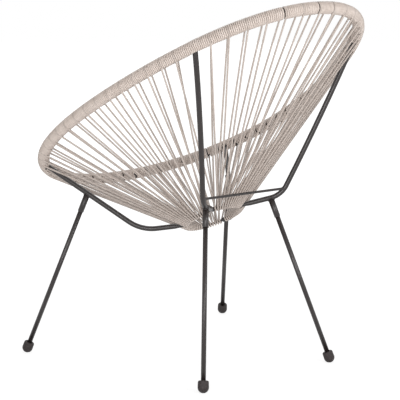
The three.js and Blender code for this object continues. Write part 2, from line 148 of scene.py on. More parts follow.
# How much of a cap's round toe the floor cuts off, and its lip's rounding and share of the cap's radius
CAP_TREAD_CUT = 1.2 * MM
CAP_LIP_ROUND = 3.2 * MM
CAP_LIP_SHARE = 0.97
CAP_MOUTH_CHAMFER = 0.5 * MM
SOCKET_EDGE = 0.4 * MM
SOCKET_TOP_SETBACK = 2 * MM

# Weld beads: how uneven they are, where their random draws start, and how thin the brace's are
BEAD_UNEVENNESS = 0.12
BEAD_SEED = 5
BRACE_BEAD_SHARE = 0.8

# How finely round shapes are divided, along and round them
WINDING_STEPS = 12
HOOK_STEPS = 8
LOOP_STEPS = 8
STRAND_STEPS = 6
BEND_STEPS = 14
BOW_STEPS = 8
BEAD_STEPS = 40
SPIN_STEPS = 40
CAP_STEPS = 10
RIM_STEPS = 240
RING_STEPS = 96
RIM_SAMPLES = 1440
RIM_SIDES = 20
RING_SIDES = 14
ARM_SIDES = 24
BRACE_SIDES = 16
BEAD_SIDES = 8
WINDING_SIDES = 6
CORD_SIDES = 8
FLOOR_SIDES = 96
MERGE_DISTANCE = 0.001 * MM

# Painted shade on one and the same cord, as shares of its color: the loose strands' and the wound cord's
# The loose strands come out as a darker, shaded copy of the cord; the wound cord is barely darkened
WEB_PAINTED_SHADE = 0.81
WINDING_PAINTED_SHADE = 0.98
# Brightness of the coat's darker drifts and of the caps' scuffs, as shares of their colors
COAT_SHADING = 0.82
SCUFF_SHADING = 1.9

# The floor: how far out it shows the chair's shadow, how much plain white covers that shadow in the
# middle, how strong that white is, the grey under it, and how far the floor lies below the feet
SHADOW_REACH = 2.2
SHADOW_COVER = 0.64
FLOOR_GLOW = 1.18
FLOOR_GREY = 0.9
FLOOR_RADIUS = 14
FLOOR_DROP = 0.2 * MM

# Each lamp's place in metres from the aim, towards the camera, to its right and up, and its width. The stage's
# setting of the same name is its power.
LAMPS = {
    "key": ((2.5, -0.4, 0.0), 1.4),
    "fill": ((1.5, 1.9, 0.7), 1.2),
    "top": ((-1.2, 0.0, 2.0), 1.6),
}


# Sizes and colors that a user would change


class CordSettings(PropertyGroup):
    radius: FloatProperty(
        name="Cord radius",
        description="Half the thickness of the plastic cord",
        default=2.0 * MM,
        unit="LENGTH",
    )
    pitch: FloatProperty(
        name="Winding pitch",
        description="Room that one turn of cord takes along the rim",
        default=4.1 * MM,
        unit="LENGTH",
    )
    slack: FloatProperty(
        name="Strand slack",
        description="How far a strand may stray from a straight line at its middle",
        default=0.7 * MM,
        unit="LENGTH",
    )
    seed: IntProperty(
        name="Seed",
        description="Chooses the small differences between strands",
        default=11,
    )
    color: FloatVectorProperty(
        name="Cord color",
        description="Color of the plastic cord",
        subtype="COLOR",
        size=3,
        default=(0.60, 0.523, 0.474),
    )
    shade_color: FloatVectorProperty(
        name="Cord shade",
        description="Darker color that drifts through the cord",
        subtype="COLOR",
        size=3,
        default=(0.52, 0.444, 0.396),
    )
    roughness: FloatProperty(
        name="Cord roughness",
        description="Roughness of the cord's skin",
        default=0.5,
        min=0,
        max=1,
    )


class FrameSettings(PropertyGroup):
    color: FloatVectorProperty(
        name="Frame color",
        description="Color of the powder coat",
        subtype="COLOR",
        size=3,
        default=(0.019, 0.014, 0.0135),
    )
    roughness: FloatProperty(
        name="Frame roughness",
        description="Roughness of the powder coat",
        default=0.35,
        min=0,
        max=1,
    )
    cap_color: FloatVectorProperty(
        name="Cap color",
        description="Color of the rubber foot caps",
        subtype="COLOR",
        size=3,
        default=(0.0215, 0.0165, 0.0165),
    )
    bead: FloatProperty(
        name="Weld bead radius",
        description="Half the thickness of a weld bead",
        default=1.5 * MM,
        unit="LENGTH",
    )


class StageSettings(PropertyGroup):
    azimuth: FloatProperty(
        name="Camera azimuth",
        description="Angle round the chair",
        default=math.radians(140.61),
        subtype="ANGLE",
    )
    elevation: FloatProperty(
        name="Camera elevation",
        description="Angle above the floor",
        default=math.radians(9.355),
        subtype="ANGLE",
    )
    distance: FloatProperty(
        name="Camera distance",
        description="Distance to the point it looks at",
        default=3.3457,
        unit="LENGTH",
    )
    lens: FloatProperty(
        name="Focal length",
        description="Focal length in millimetres",
        default=128.12,
    )
    target: FloatVectorProperty(
        name="Camera target",
        description="Point that the camera looks at",
        subtype="TRANSLATION",
        size=3,
        default=(0, -0.0210, 0.3738),
    )
    key: FloatProperty(
        name="Key light",
        description="Power of the main lamp in watts",
        default=33,
    )
    fill: FloatProperty(
        name="Fill light",
        description="Power of the lamp on the right in watts",
        default=26,
    )
    top: FloatProperty(
        name="Top light",
        description="Power of the lamp over the seat in watts",
        default=16,
    )
    sky: FloatProperty(
        name="Sky",
        description="Strength of the light from all round",
        default=0.4,
    )


# Rim and seat ring as curves

# The rim's plane from its front edge up to its back
PLANE_BACK = Vector((0, math.cos(RIM_TILT), math.sin(RIM_TILT)))


def rim_point(angle):
    """The middle of the rim tube at an angle, which starts at the front edge."""
    aside = (
        RIM_HALF_WIDTH * math.sin(angle)
        + RIM_EGG_WIDTH * math.sin(2 * angle)
        + RIM_SHOULDER_WIDTH * math.sin(3 * angle)
        - RIM_TAPER_WIDTH * math.sin(4 * angle)
    )
    return Vector((aside, 0, RIM_CENTRE_HEIGHT)) - PLANE_BACK * (RIM_HALF_LENGTH * math.cos(angle))


def rim_tangent(angle):
    aside = (
        RIM_HALF_WIDTH * math.cos(angle)
        + 2 * RIM_EGG_WIDTH * math.cos(2 * angle)
        + 3 * RIM_SHOULDER_WIDTH * math.cos(3 * angle)
        - 4 * RIM_TAPER_WIDTH * math.cos(4 * angle)
    )
    return (Vector((aside, 0, 0)) + PLANE_BACK * (RIM_HALF_LENGTH * math.sin(angle))).normalized()


def measure_rim():
    """Distances round the rim to evenly spaced angles."""
    reach = [0.0]
    previous = rim_point(0)
    for i in range(1, RIM_SAMPLES + 1):
        point = rim_point(FULL_TURN * i / RIM_SAMPLES)
        reach.append(reach[-1] + (point - previous).length)
        previous = point
    return reach


RIM_REACH = measure_rim()
RIM_LENGTH = RIM_REACH[-1]


def rim_place(angle):
    """Distance round the rim to an angle."""
    share = angle / FULL_TURN * RIM_SAMPLES
    i = min(int(share), RIM_SAMPLES - 1)
    return RIM_REACH[i] + (share - i) * (RIM_REACH[i + 1] - RIM_REACH[i])


def rim_angle(place):
    """Angle at a distance round the rim."""
    turns = math.floor(place / RIM_LENGTH)
    inside = place - turns * RIM_LENGTH
    i = min(max(bisect.bisect_right(RIM_REACH, inside), 1), RIM_SAMPLES)
    share = (inside - RIM_REACH[i - 1]) / (RIM_REACH[i] - RIM_REACH[i - 1])
    return FULL_TURN * (turns + (i - 1 + share) / RIM_SAMPLES)


def ring_point(angle):
    centre = Vector((RING_RADIUS * math.sin(angle), RING_SETBACK, RING_HEIGHT))
    return centre - PLANE_BACK * (RING_RADIUS * math.cos(angle))


def ring_tangent(angle):
    return Vector((math.cos(angle), 0, 0)) + PLANE_BACK * math.sin(angle)


FRONT_ARM_PLACE = rim_place(FRONT_ARM_RIM)
REAR_ARM_PLACE = rim_place(REAR_ARM_RIM)
RIM_MARKS = [
    -FRONT_ARM_PLACE,
    FRONT_ARM_PLACE,
    REAR_ARM_PLACE,
    RIM_LENGTH - REAR_ARM_PLACE,
    RIM_LENGTH - FRONT_ARM_PLACE,
]
RING_MARKS = [-FRONT_WELD, FRONT_WELD, REAR_WELD, FULL_TURN - REAR_WELD, FULL_TURN - FRONT_WELD]
ARC_STATIONS = [FRONT_STATIONS, SIDE_STATIONS, REAR_STATIONS, SIDE_STATIONS]
# Rim between an arc's two ends, which are arms, and the cord nearest to each, or None for half a step
ARC_RIMS = [
    (None, None),
    (FRONT_ARM_FLANK_RIM, REAR_ARM_FLANK_RIM),
    (REAR_ARM_BACK_RIM, None),
    (REAR_ARM_FLANK_RIM, FRONT_ARM_FLANK_RIM),
]
ARC_LOOPS = [FRONT_STATIONS + 1, SIDE_STATIONS - 1, REAR_STATIONS + 1, SIDE_STATIONS - 1]
ARC_ROOMS = [
    (FRONT_WELD_KNEE, FRONT_WELD_KNEE),
    (FRONT_WELD_FLANK, REAR_WELD_FLANK),
    (REAR_WELD_BACK, REAR_WELD_BACK),
    (REAR_WELD_FLANK, FRONT_WELD_FLANK),
]
STATION_COUNT = sum(ARC_STATIONS)


def facing_angle(place):
    """The seat ring's angle that faces a place on the rim."""
    arc = max(bisect.bisect_right(RIM_MARKS, place) - 1, 0)
    after = arc + 1 < len(RIM_MARKS)
    start = RIM_MARKS[arc]
    stop = RIM_MARKS[arc + 1] if after else start + 2 * FRONT_ARM_PLACE
    ring_stop = RING_MARKS[arc + 1] if after else RING_MARKS[arc] + 2 * FRONT_WELD
    return RING_MARKS[arc] + (place - start) / (stop - start) * (ring_stop - RING_MARKS[arc])


class Seat:
    """A place where cord bears on a tube: its centre, and the directions along, down and out.

    The slope says how far the strand that leaves here runs along the tube for each step away from it.
    """

    def __init__(self, centre, along, down, slope=0.0):
        self.centre = centre
        self.along = along
        self.down = down
        self.out = down.cross(along)
        self.slope = slope

    def at(self, turn, radius, along=0.0):
        """A point at a turn about the tube, where 0 is down and a quarter turn is out."""
        return (
            self.centre
            + self.down * (radius * math.cos(turn))
            + self.out * (radius * math.sin(turn))
            + self.along * along
        )


def rim_seat(place):
    """The seat of a cord on the rim, where down is the way to the seat ring."""
    angle = rim_angle(place)
    centre = rim_point(angle)
    along = rim_tangent(angle)
    strand = (ring_point(facing_angle(place)) - centre).normalized()
    lean = strand.dot(along)
    down = (strand - along * lean).normalized()
    return Seat(centre, along, down, lean / math.sqrt(1 - lean * lean))


def spread(start, stop, count):
    """count numbers from start to stop, both included."""
    return [start + (stop - start) * i / (count - 1) for i in range(count)]


def find_stations():
    """Places on the rim where the laced cord passes over it."""
    places = []
    for arc, count in enumerate(ARC_STATIONS):
        after, before = ARC_RIMS[arc]
        half_steps = (after is None) + (before is None)
        length = RIM_MARKS[arc + 1] - RIM_MARKS[arc] - (after or 0) - (before or 0)
        step = length / (count - 1 + half_steps / 2)
        first = RIM_MARKS[arc] + (step / 2 if after is None else after)
        places.extend(first + k * step for k in range(count))
    return places


def find_loops(seats):
    """Seats on the ring where the cord passes under it between one station and the next."""
    angles = []
    for arc, count in enumerate(ARC_LOOPS):
        before, after = ARC_ROOMS[arc]
        angles.extend(spread(RING_MARKS[arc] + before, RING_MARKS[arc + 1] - after, count))
    loops = []
    for i, seat in enumerate(seats):
        angle = angles[(i + 1) % STATION_COUNT]
        centre = ring_point(angle)
        along = ring_tangent(angle)
        following = seats[(i + 1) % STATION_COUNT]
        up = (seat.centre + following.centre) / 2 - centre
        up = (up - along * up.dot(along)).normalized()
        loops.append(Seat(centre, along, -up))
    return loops


STATION_PLACES = find_stations()
STATION_SEATS = [rim_seat(place) for place in STATION_PLACES]
LOOP_SEATS = find_loops(STATION_SEATS)


def length_start(n):
    """The first station of a length of cord."""
    return round(n * STATION_COUNT / CORD_LENGTHS)


# Arm centre lines


def mirrored(vector, side):
    return Vector((vector.x * side, vector.y, vector.z))


class ArmPath:
    """Centre line of one arm: down from the rim, round a bend and on to the seat ring."""

    def __init__(self, end, side):
        front = end == "front"
        angle = FRONT_ARM_RIM if front else REAR_ARM_RIM
        weld = FRONT_WELD if front else REAR_WELD
        bend_radius = FRONT_BEND_RADIUS if front else REAR_BEND_RADIUS
        bow = 0.0 if front else REAR_ARM_BOW
        self.top = mirrored(rim_point(angle), side)
        self.corner = mirrored(FRONT_CORNER if front else REAR_CORNER, side)
        self.tip = mirrored(ring_point(weld), side)
        self.rim_along = mirrored(rim_tangent(angle), side)
        self.ring_along = mirrored(ring_tangent(weld), side)
        self.fall = (self.corner - self.top).normalized()
        self.bar = (self.tip - self.corner).normalized()
        bend_angle = self.fall.angle(self.bar)
        setback = bend_radius * math.tan(bend_angle / 2)
        self.bend_start = self.corner - self.fall * setback
        inward = (self.bar - self.fall * self.bar.dot(self.fall)).normalized()
        bend_centre = self.bend_start + inward * bend_radius
        self.points = []
        for k in range(BOW_STEPS):
            share = k / BOW_STEPS
            point = self.top.lerp(self.bend_start, share)
            point.y += 4 * bow * share * (1 - share)
            self.points.append(point)
        for k in range(BEND_STEPS + 1):
            turn = bend_angle * k / BEND_STEPS
            reach = self.fall * math.sin(turn) - inward * math.cos(turn)
            self.points.append(bend_centre + reach * bend_radius)
        self.bend_end = self.points[-1]
        self.radii = [ARM_RADIUS] * len(self.points)
        for back in (ARM_TIP_LENGTH + ARM_NECK_LENGTH, ARM_TIP_LENGTH, 0.0):
            self.points.append(self.tip - self.bar * back)
            self.radii.append(ARM_RADIUS if back > ARM_TIP_LENGTH else ARM_TIP_RADIUS)

    def past_bend_start(self, distance):
        """A point this far round the bend, and the direction there."""
        i = BOW_STEPS
        left = distance
        while left > (self.points[i + 1] - self.points[i]).length:
            left -= (self.points[i + 1] - self.points[i]).length
            i += 1
        step = self.points[i + 1] - self.points[i]
        return self.points[i] + step * (left / step.length), step.normalized()


ARM_PATHS = {(end, word): ArmPath(end, side) for end in ENDS for word, side in SIDES}


def leg_line(end, word):
    """Where a leg's axis meets its arm, and where it meets the floor."""
    path = ARM_PATHS[end, word]
    side = dict(SIDES)[word]
    if end == "front":
        return path.top + path.fall * FRONT_SOCKET_DROP, mirrored(FRONT_FOOT, side)
    return path.bend_end, mirrored(REAR_FOOT, side)


# Making meshes


def link_mesh(name, mesh, material, replaced):
    """Puts a finished mesh in the scene as a piece of the chair."""
    for polygon in mesh.polygons:
        polygon.use_smooth = True
    mesh.materials.append(material)
    piece = bpy.data.objects.new(name, mesh)
    bpy.context.scene.collection.objects.link(piece)
    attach(piece, BODY)
    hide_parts(*replaced)


def swept_mesh(name, runs, radius, sides, cyclic=False):
    """A mesh of round tubes along runs of (point, relative thickness) pairs."""
    curve = bpy.data.curves.new(name + "_curve", "CURVE")
    curve.dimensions = "3D"
    curve.bevel_depth = radius
    curve.bevel_resolution = (sides - 4) // 2
    curve.use_fill_caps = True
    for run in runs:
        spline = curve.splines.new("POLY")
        spline.points.add(len(run) - 1)
        for point, (place, thickness) in zip(spline.points, run):
            point.co = (*place, 1.0)
            point.radius = thickness
        spline.use_cyclic_u = cyclic
    holder = bpy.data.objects.new(name + "_curve", curve)
    bpy.context.scene.collection.objects.link(holder)
    graph = bpy.context.evaluated_depsgraph_get()
    mesh = bpy.data.meshes.new_from_object(holder.evaluated_get(graph))
    mesh.name = name
    bpy.data.objects.remove(holder)
    bpy.data.curves.remove(curve)
    return mesh


def joined(name, meshes):
    """One mesh of several."""
    bm = bmesh.new()
    for mesh in meshes:
        bm.from_mesh(mesh)
        bpy.data.meshes.remove(mesh)
    result = bpy.data.meshes.new(name)
    bm.to_mesh(result)
    bm.free()
    return result


def turned_mesh(name, profile, foot, top):
    """A closed body spun from (radius, height) pairs about the line from foot up to top."""
    bm = bmesh.new()
    verts = [bm.verts.new((radius, 0, height)) for radius, height in profile]
    edges = [bm.edges.new(pair) for pair in zip(verts, verts[1:])]
    bmesh.ops.spin(
        bm,
        geom=verts + edges,
        axis=(0, 0, 1),
        cent=(0, 0, 0),
        angle=FULL_TURN,
        steps=SPIN_STEPS,
        use_merge=True,
    )
    bmesh.ops.remove_doubles(bm, verts=bm.verts[:], dist=MERGE_DISTANCE)
    bmesh.ops.recalc_face_normals(bm, faces=bm.faces[:])
    turn = (top - foot).to_track_quat("Z", "Y").to_matrix().to_4x4()
    bmesh.ops.transform(bm, matrix=Matrix.Translation(foot) @ turn, verts=bm.verts[:])
    mesh = bpy.data.meshes.new(name)
    bm.to_mesh(mesh)
    bm.free()
    return mesh


def saddle_run(start, direction, radius, axis, other_radius, rng):
    """A weld bead's run where a tube from start meets another tube whose axis passes through start."""
    across = direction.orthogonal().normalized()
    normal = direction.cross(across)
    run = []
    for k in range(BEAD_STEPS):
        turn = FULL_TURN * k / BEAD_STEPS
        offset = across * (radius * math.cos(turn)) + normal * (radius * math.sin(turn))
        side = offset - axis * offset.dot(axis)
        step = direction - axis * direction.dot(axis)
        a = step.dot(step)
        b = 2 * side.dot(step)
        c = side.dot(side) - other_radius ** 2
        reach = (-b + math.sqrt(max(b * b - 4 * a * c, 0.0))) / (2 * a)
        thickness = 1 + BEAD_UNEVENNESS * rng.uniform(-1, 1)
        run.append((start + offset + direction * reach, thickness))
    return run


# Materials


def new_material(name):
    material = bpy.data.materials.new(name)
    material.use_nodes = True
    nodes = material.node_tree.nodes
    nodes.clear()
    output = nodes.new("ShaderNodeOutputMaterial")
    shader = nodes.new("ShaderNodeBsdfPrincipled")
    material.node_tree.links.new(shader.outputs["BSDF"], output.inputs["Surface"])
    return material, nodes, material.node_tree.links, shader


def object_noise(nodes, links, scale, detail):
    """Noise on Object coordinates, its factor output."""
    coordinates = nodes.new("ShaderNodeTexCoord")
    noise = nodes.new("ShaderNodeTexNoise")
    noise.inputs["Scale"].default_value = scale
    noise.inputs["Detail"].default_value = detail
    links.new(coordinates.outputs["Object"], noise.inputs["Vector"])
    return noise.outputs["Fac"]


def ramp(nodes, links, factor, low, high, low_place=0.35, high_place=0.65):
    """A color that goes from low to high as the factor goes from low_place to high_place."""
    node = nodes.new("ShaderNodeValToRGB")
    node.color_ramp.elements[0].position = low_place
    node.color_ramp.elements[0].color = (*low, 1)
    node.color_ramp.elements[1].position = high_place
    node.color_ramp.elements[1].color = (*high, 1)
    links.new(factor, node.inputs["Fac"])
    return node.outputs["Color"]


def grey(value):
    return (value, value, value)


def bump(nodes, links, height, distance, strength):
    node = nodes.new("ShaderNodeBump")
    node.inputs["Distance"].default_value = distance
    node.inputs["Strength"].default_value = strength
    links.new(height, node.inputs["Height"])
    return node.outputs["Normal"]


def cord_material(name, painted_shade):
    """Extruded plastic: soft drifts of color, a faint dusty bloom, a slightly rippled skin and painted shade.
    """
    cord = bpy.context.scene.chair_cord
    material, nodes, links, shader = new_material(name)
    # Painted shade: both colors are darkened by the share given, more for the loose strands than the winding
    light = tuple(channel * painted_shade for channel in cord.color)
    dark = tuple(channel * painted_shade for channel in cord.shade_color)
    drift = object_noise(nodes, links, scale=70, detail=4)
    color = ramp(nodes, links, drift, dark, light, low_place=0.3, high_place=0.7)
    links.new(color, shader.inputs["Base Color"])
    dust = object_noise(nodes, links, scale=310, detail=2)
    glossy = grey(cord.roughness - 0.08)
    dull = grey(cord.roughness + 0.12)
    links.new(ramp(nodes, links, dust, glossy, dull), shader.inputs["Roughness"])
    ripple = object_noise(nodes, links, scale=420, detail=2)
    skin = bump(nodes, links, ripple, distance=0.05 * MM, strength=0.35)
    links.new(skin, shader.inputs["Normal"])
    shader.inputs["Specular IOR Level"].default_value = 0.45
    return material


def coat_material():
    """Powder coat on steel: fine orange peel and slightly uneven gloss."""
    settings = bpy.context.scene.chair_frame
    material, nodes, links, shader = new_material("powder_coat")
    drift = object_noise(nodes, links, scale=18, detail=3)
    darker = tuple(channel * COAT_SHADING for channel in settings.color)
    color = ramp(nodes, links, drift, darker, settings.color)
    links.new(color, shader.inputs["Base Color"])
    peel = object_noise(nodes, links, scale=1100, detail=2)
    skin = bump(nodes, links, peel, distance=0.05 * MM, strength=0.6)
    links.new(skin, shader.inputs["Normal"])
    patches = object_noise(nodes, links, scale=140, detail=3)
    glossy = grey(settings.roughness - 0.06)
    dull = grey(settings.roughness + 0.08)
    links.new(ramp(nodes, links, patches, glossy, dull), shader.inputs["Roughness"])
    return material


def rubber_material():
    """Moulded rubber: matt and grainy, with paler scuffs."""
    settings = bpy.context.scene.chair_frame
    material, nodes, links, shader = new_material("foot_rubber")
    scuffs = object_noise(nodes, links, scale=240, detail=4)
    paler = tuple(channel * SCUFF_SHADING for channel in settings.cap_color)
    color = ramp(nodes, links, scuffs, settings.cap_color, paler, low_place=0.45, high_place=0.75)
    links.new(color, shader.inputs["Base Color"])
    grain = object_noise(nodes, links, scale=1500, detail=2)
    skin = bump(nodes, links, grain, distance=0.06 * MM, strength=0.6)
    links.new(skin, shader.inputs["Normal"])
    shader.inputs["Roughness"].default_value = 0.62
    shader.inputs["Specular IOR Level"].default_value = 0.35
    return material


def material_named(name, maker, *values):
    """The material of this name, made the first time that it is asked for."""
    return bpy.data.materials.get(name) or maker(*values)


def coat():
    return material_named("powder_coat", coat_material)


def rubber():
    return material_named("foot_rubber", rubber_material)


def web_plastic():
    return material_named("web_cord", cord_material, "web_cord", WEB_PAINTED_SHADE)


def winding_plastic():
    return material_named("winding_cord", cord_material, "winding_cord", WINDING_PAINTED_SHADE)


# Pieces


def clear_of_arms(point, room):
    """Whether a point keeps this room to every arm's axis near the rim."""
    for path in ARM_PATHS.values():
        offset = point - path.top
        reach = offset.dot(path.fall)
        if 0 < reach < ARM_WATCH_LENGTH and (offset - path.fall * reach).length < room:
            return False
    return True


def interval_pitch(i):
    """Pitch of the turns between station i and the next, where a whole number of them fits up to a slit."""
    following = (i + 1) % STATION_COUNT
    length = (STATION_PLACES[following] - STATION_PLACES[i]) % RIM_LENGTH
    length -= SLITS.get(following, 0.0) * MM
    return length / round(length / bpy.context.scene.chair_cord.pitch)


class CHAIR_OT_rim(Operator):
    """Adds the steel rim under the winding"""

    bl_idname = "chair.rim"
    bl_label = "Rim tube"

    def execute(self, context):
        run = [(rim_point(FULL_TURN * i / RIM_STEPS), 1.0) for i in range(RIM_STEPS)]
        mesh = swept_mesh("rim_steel", [run], RIM_TUBE_RADIUS, RIM_SIDES, cyclic=True)
        link_mesh("rim_steel", mesh, coat(), ["rim_tube"])
        return {"FINISHED"}


class CHAIR_OT_winding(Operator):
    """Winds the cord round the rim between the stations"""

    bl_idname = "chair.winding"
    bl_label = "Rim winding"

    def interval_runs(self, i, cord):
        """The turns between station i and the next, in one run or, round an arm, in several."""
        pitch = interval_pitch(i)
        start = STATION_PLACES[i]
        slope_here = STATION_SEATS[i].slope
        slope_next = STATION_SEATS[(i + 1) % STATION_COUNT].slope
        length = (STATION_PLACES[(i + 1) % STATION_COUNT] - start) % RIM_LENGTH
        # A slit takes less than a turn, and the small extra keeps a whole number from being rounded down
        turns = int(length / pitch + 0.01) - 1
        radius = RIM_TUBE_RADIUS + SEATING_GAP + cord.radius
        steps = turns * WINDING_STEPS
        runs = [[]]
        for k in range(steps + 1):
            turn = FULL_TURN * k / WINDING_STEPS
            along = pitch * (turn / FULL_TURN + 0.5)
            slope = slope_here + (slope_next - slope_here) * along / length
            shift = slope * radius * max(0.0, math.cos(turn))
            seat = rim_seat(start + along + shift)
            tucked = WINDING_TUCK if k in (0, steps) else 0.0
            point = seat.at(turn, radius - tucked)
            if clear_of_arms(point, ARM_RADIUS + cord.radius + ARM_CLEARANCE):
                runs[-1].append((point, pitch / cord.radius / 2))
            elif runs[-1]:
                runs.append([])
        return [run for run in runs if len(run) > STUB_POINTS]

    def execute(self, context):
        cord = context.scene.chair_cord
        for n in range(CORD_LENGTHS):
            runs = []
            for i in range(length_start(n), length_start(n + 1)):
                runs.extend(self.interval_runs(i, cord))
            name = f"winding_{n + 1:02d}"
            mesh = swept_mesh(name, runs, cord.radius, WINDING_SIDES)
            link_mesh(name, mesh, winding_plastic(), [f"rim_winding_{n + 1:02d}"])
        return {"FINISHED"}


class CHAIR_OT_web(Operator):
    """Laces the cord over the rim and under the seat ring"""

    bl_idname = "chair.web"
    bl_label = "Web cord"

    def hook(self, i, cord):
        """Over the rim, from the inner side to the outer side, as one more turn of the winding."""
        seat = STATION_SEATS[i]
        pitch = (interval_pitch(i) + interval_pitch((i - 1) % STATION_COUNT)) / 2
        radius = RIM_TUBE_RADIUS + SEATING_GAP + cord.radius
        points = []
        for k in range(HOOK_STEPS + 1):
            turn = HALF_TURN * (1.5 - k / HOOK_STEPS)
            points.append(seat.at(turn, radius, pitch * (turn - HALF_TURN) / FULL_TURN))
        return points

    def loop(self, i, cord, shares):
        """Under the seat ring, from the outer side to the inner side."""
        seat = LOOP_SEATS[i]
        radius = RING_ROD_RADIUS + SEATING_GAP + cord.radius
        return [seat.at(HALF_TURN * (0.5 - share), radius) for share in shares]

    def strand(self, start, stop, cord, rng):
        """Points between the ends of a strand, which strays a little from a straight line."""
        way = stop - start
        across = way.orthogonal().normalized()
        other = way.normalized().cross(across)
        stray = across * rng.uniform(-1, 1) * cord.slack + other * rng.uniform(-1, 1) * cord.slack
        points = []
        for k in range(1, STRAND_STEPS):
            share = k / STRAND_STEPS
            points.append(start + way * share + stray * (4 * share * (1 - share)))
        return points

    def execute(self, context):
        cord = context.scene.chair_cord
        rng = Random(cord.seed)
        shares = [k / LOOP_STEPS for k in range(LOOP_STEPS + 1)]
        half = LOOP_STEPS // 2
        for n in range(CORD_LENGTHS):
            first, last = length_start(n), length_start(n + 1)
            path = self.loop((first - 1) % STATION_COUNT, cord, shares[half:])
            for i in range(first, last):
                hook = self.hook(i, cord)
                path += self.strand(path[-1], hook[0], cord, rng) + hook
                ending = shares if i < last - 1 else shares[: half + 1]
                loop = self.loop(i, cord, ending)
                path += self.strand(path[-1], loop[0], cord, rng) + loop
            name = f"web_{n + 1:02d}"
            mesh = swept_mesh(name, [[(point, 1.0) for point in path]], cord.radius, CORD_SIDES)
            link_mesh(name, mesh, web_plastic(), [f"web_cord_{n + 1:02d}"])
        return {"FINISHED"}


class CHAIR_OT_seat_ring(Operator):
    """Adds the rod ring that gathers the cord under the seat"""

    bl_idname = "chair.seat_ring"
    bl_label = "Seat ring"

    def execute(self, context):
        run = [(ring_point(FULL_TURN * i / RING_STEPS), 1.0) for i in range(RING_STEPS)]
        mesh = swept_mesh("seat_ring_rod", [run], RING_ROD_RADIUS, RING_SIDES, cyclic=True)
        link_mesh("seat_ring_rod", mesh, coat(), ["seat_ring"])
        return {"FINISHED"}


class CHAIR_OT_arms(Operator):
    """Adds the bent arms, the brace between the rear ones and their weld beads"""

    bl_idname = "chair.arms"
    bl_label = "Arms and brace"

    def add_welded(self, name, rod, beads, bead_radius, node):
        """Adds a rod and its weld beads as one piece."""
        welds = [swept_mesh(name, [bead], bead_radius, BEAD_SIDES, cyclic=True) for bead in beads]
        link_mesh(name, joined(name, [rod, *welds]), coat(), [node])

    def add_arm(self, end, word, path, bead_radius, rng):
        points = list(path.points)
        points[0] = path.top + path.fall * (RIM_TUBE_RADIUS * ARM_TOP_REACH)
        points[-1] = path.tip - path.bar * (RING_ROD_RADIUS * ARM_TIP_REACH)
        run = [(point, radius / ARM_RADIUS) for point, radius in zip(points, path.radii)]
        tube = swept_mesh("arm_tube", [run], ARM_RADIUS, ARM_SIDES)
        leg_top, foot = leg_line(end, word)
        leg_down = (foot - leg_top).normalized()
        arm_along = path.fall if end == "front" else path.bar
        beads = [
            saddle_run(path.top, path.fall, ARM_RADIUS, path.rim_along, RIM_TUBE_RADIUS, rng),
            saddle_run(path.tip, -path.bar, ARM_TIP_RADIUS, path.ring_along, RING_ROD_RADIUS, rng),
            saddle_run(leg_top, leg_down, SOCKET_RADIUS, arm_along, ARM_RADIUS, rng),
        ]
        node = f"{end}_arm_{word}"
        self.add_welded(node + "_steel", tube, beads, bead_radius, node)

    def add_brace(self, bead_radius, rng):
        ends = []
        beads = []
        for word, side in SIDES:
            point, along = ARM_PATHS["rear", word].past_bend_start(BRACE_DROP)
            ends.append((point, 1.0))
            inward = Vector((-side, 0, 0))
            beads.append(saddle_run(point, inward, BRACE_RADIUS, along, ARM_RADIUS, rng))
        rod = swept_mesh("brace_rod", [ends], BRACE_RADIUS, BRACE_SIDES)
        self.add_welded("brace_steel", rod, beads, bead_radius, "rear_brace")

    def execute(self, context):
        bead_radius = context.scene.chair_frame.bead
        rng = Random(BEAD_SEED)
        for (end, word), path in ARM_PATHS.items():
            self.add_arm(end, word, path, bead_radius, rng)
        self.add_brace(bead_radius * BRACE_BEAD_SHARE, rng)
        return {"FINISHED"}


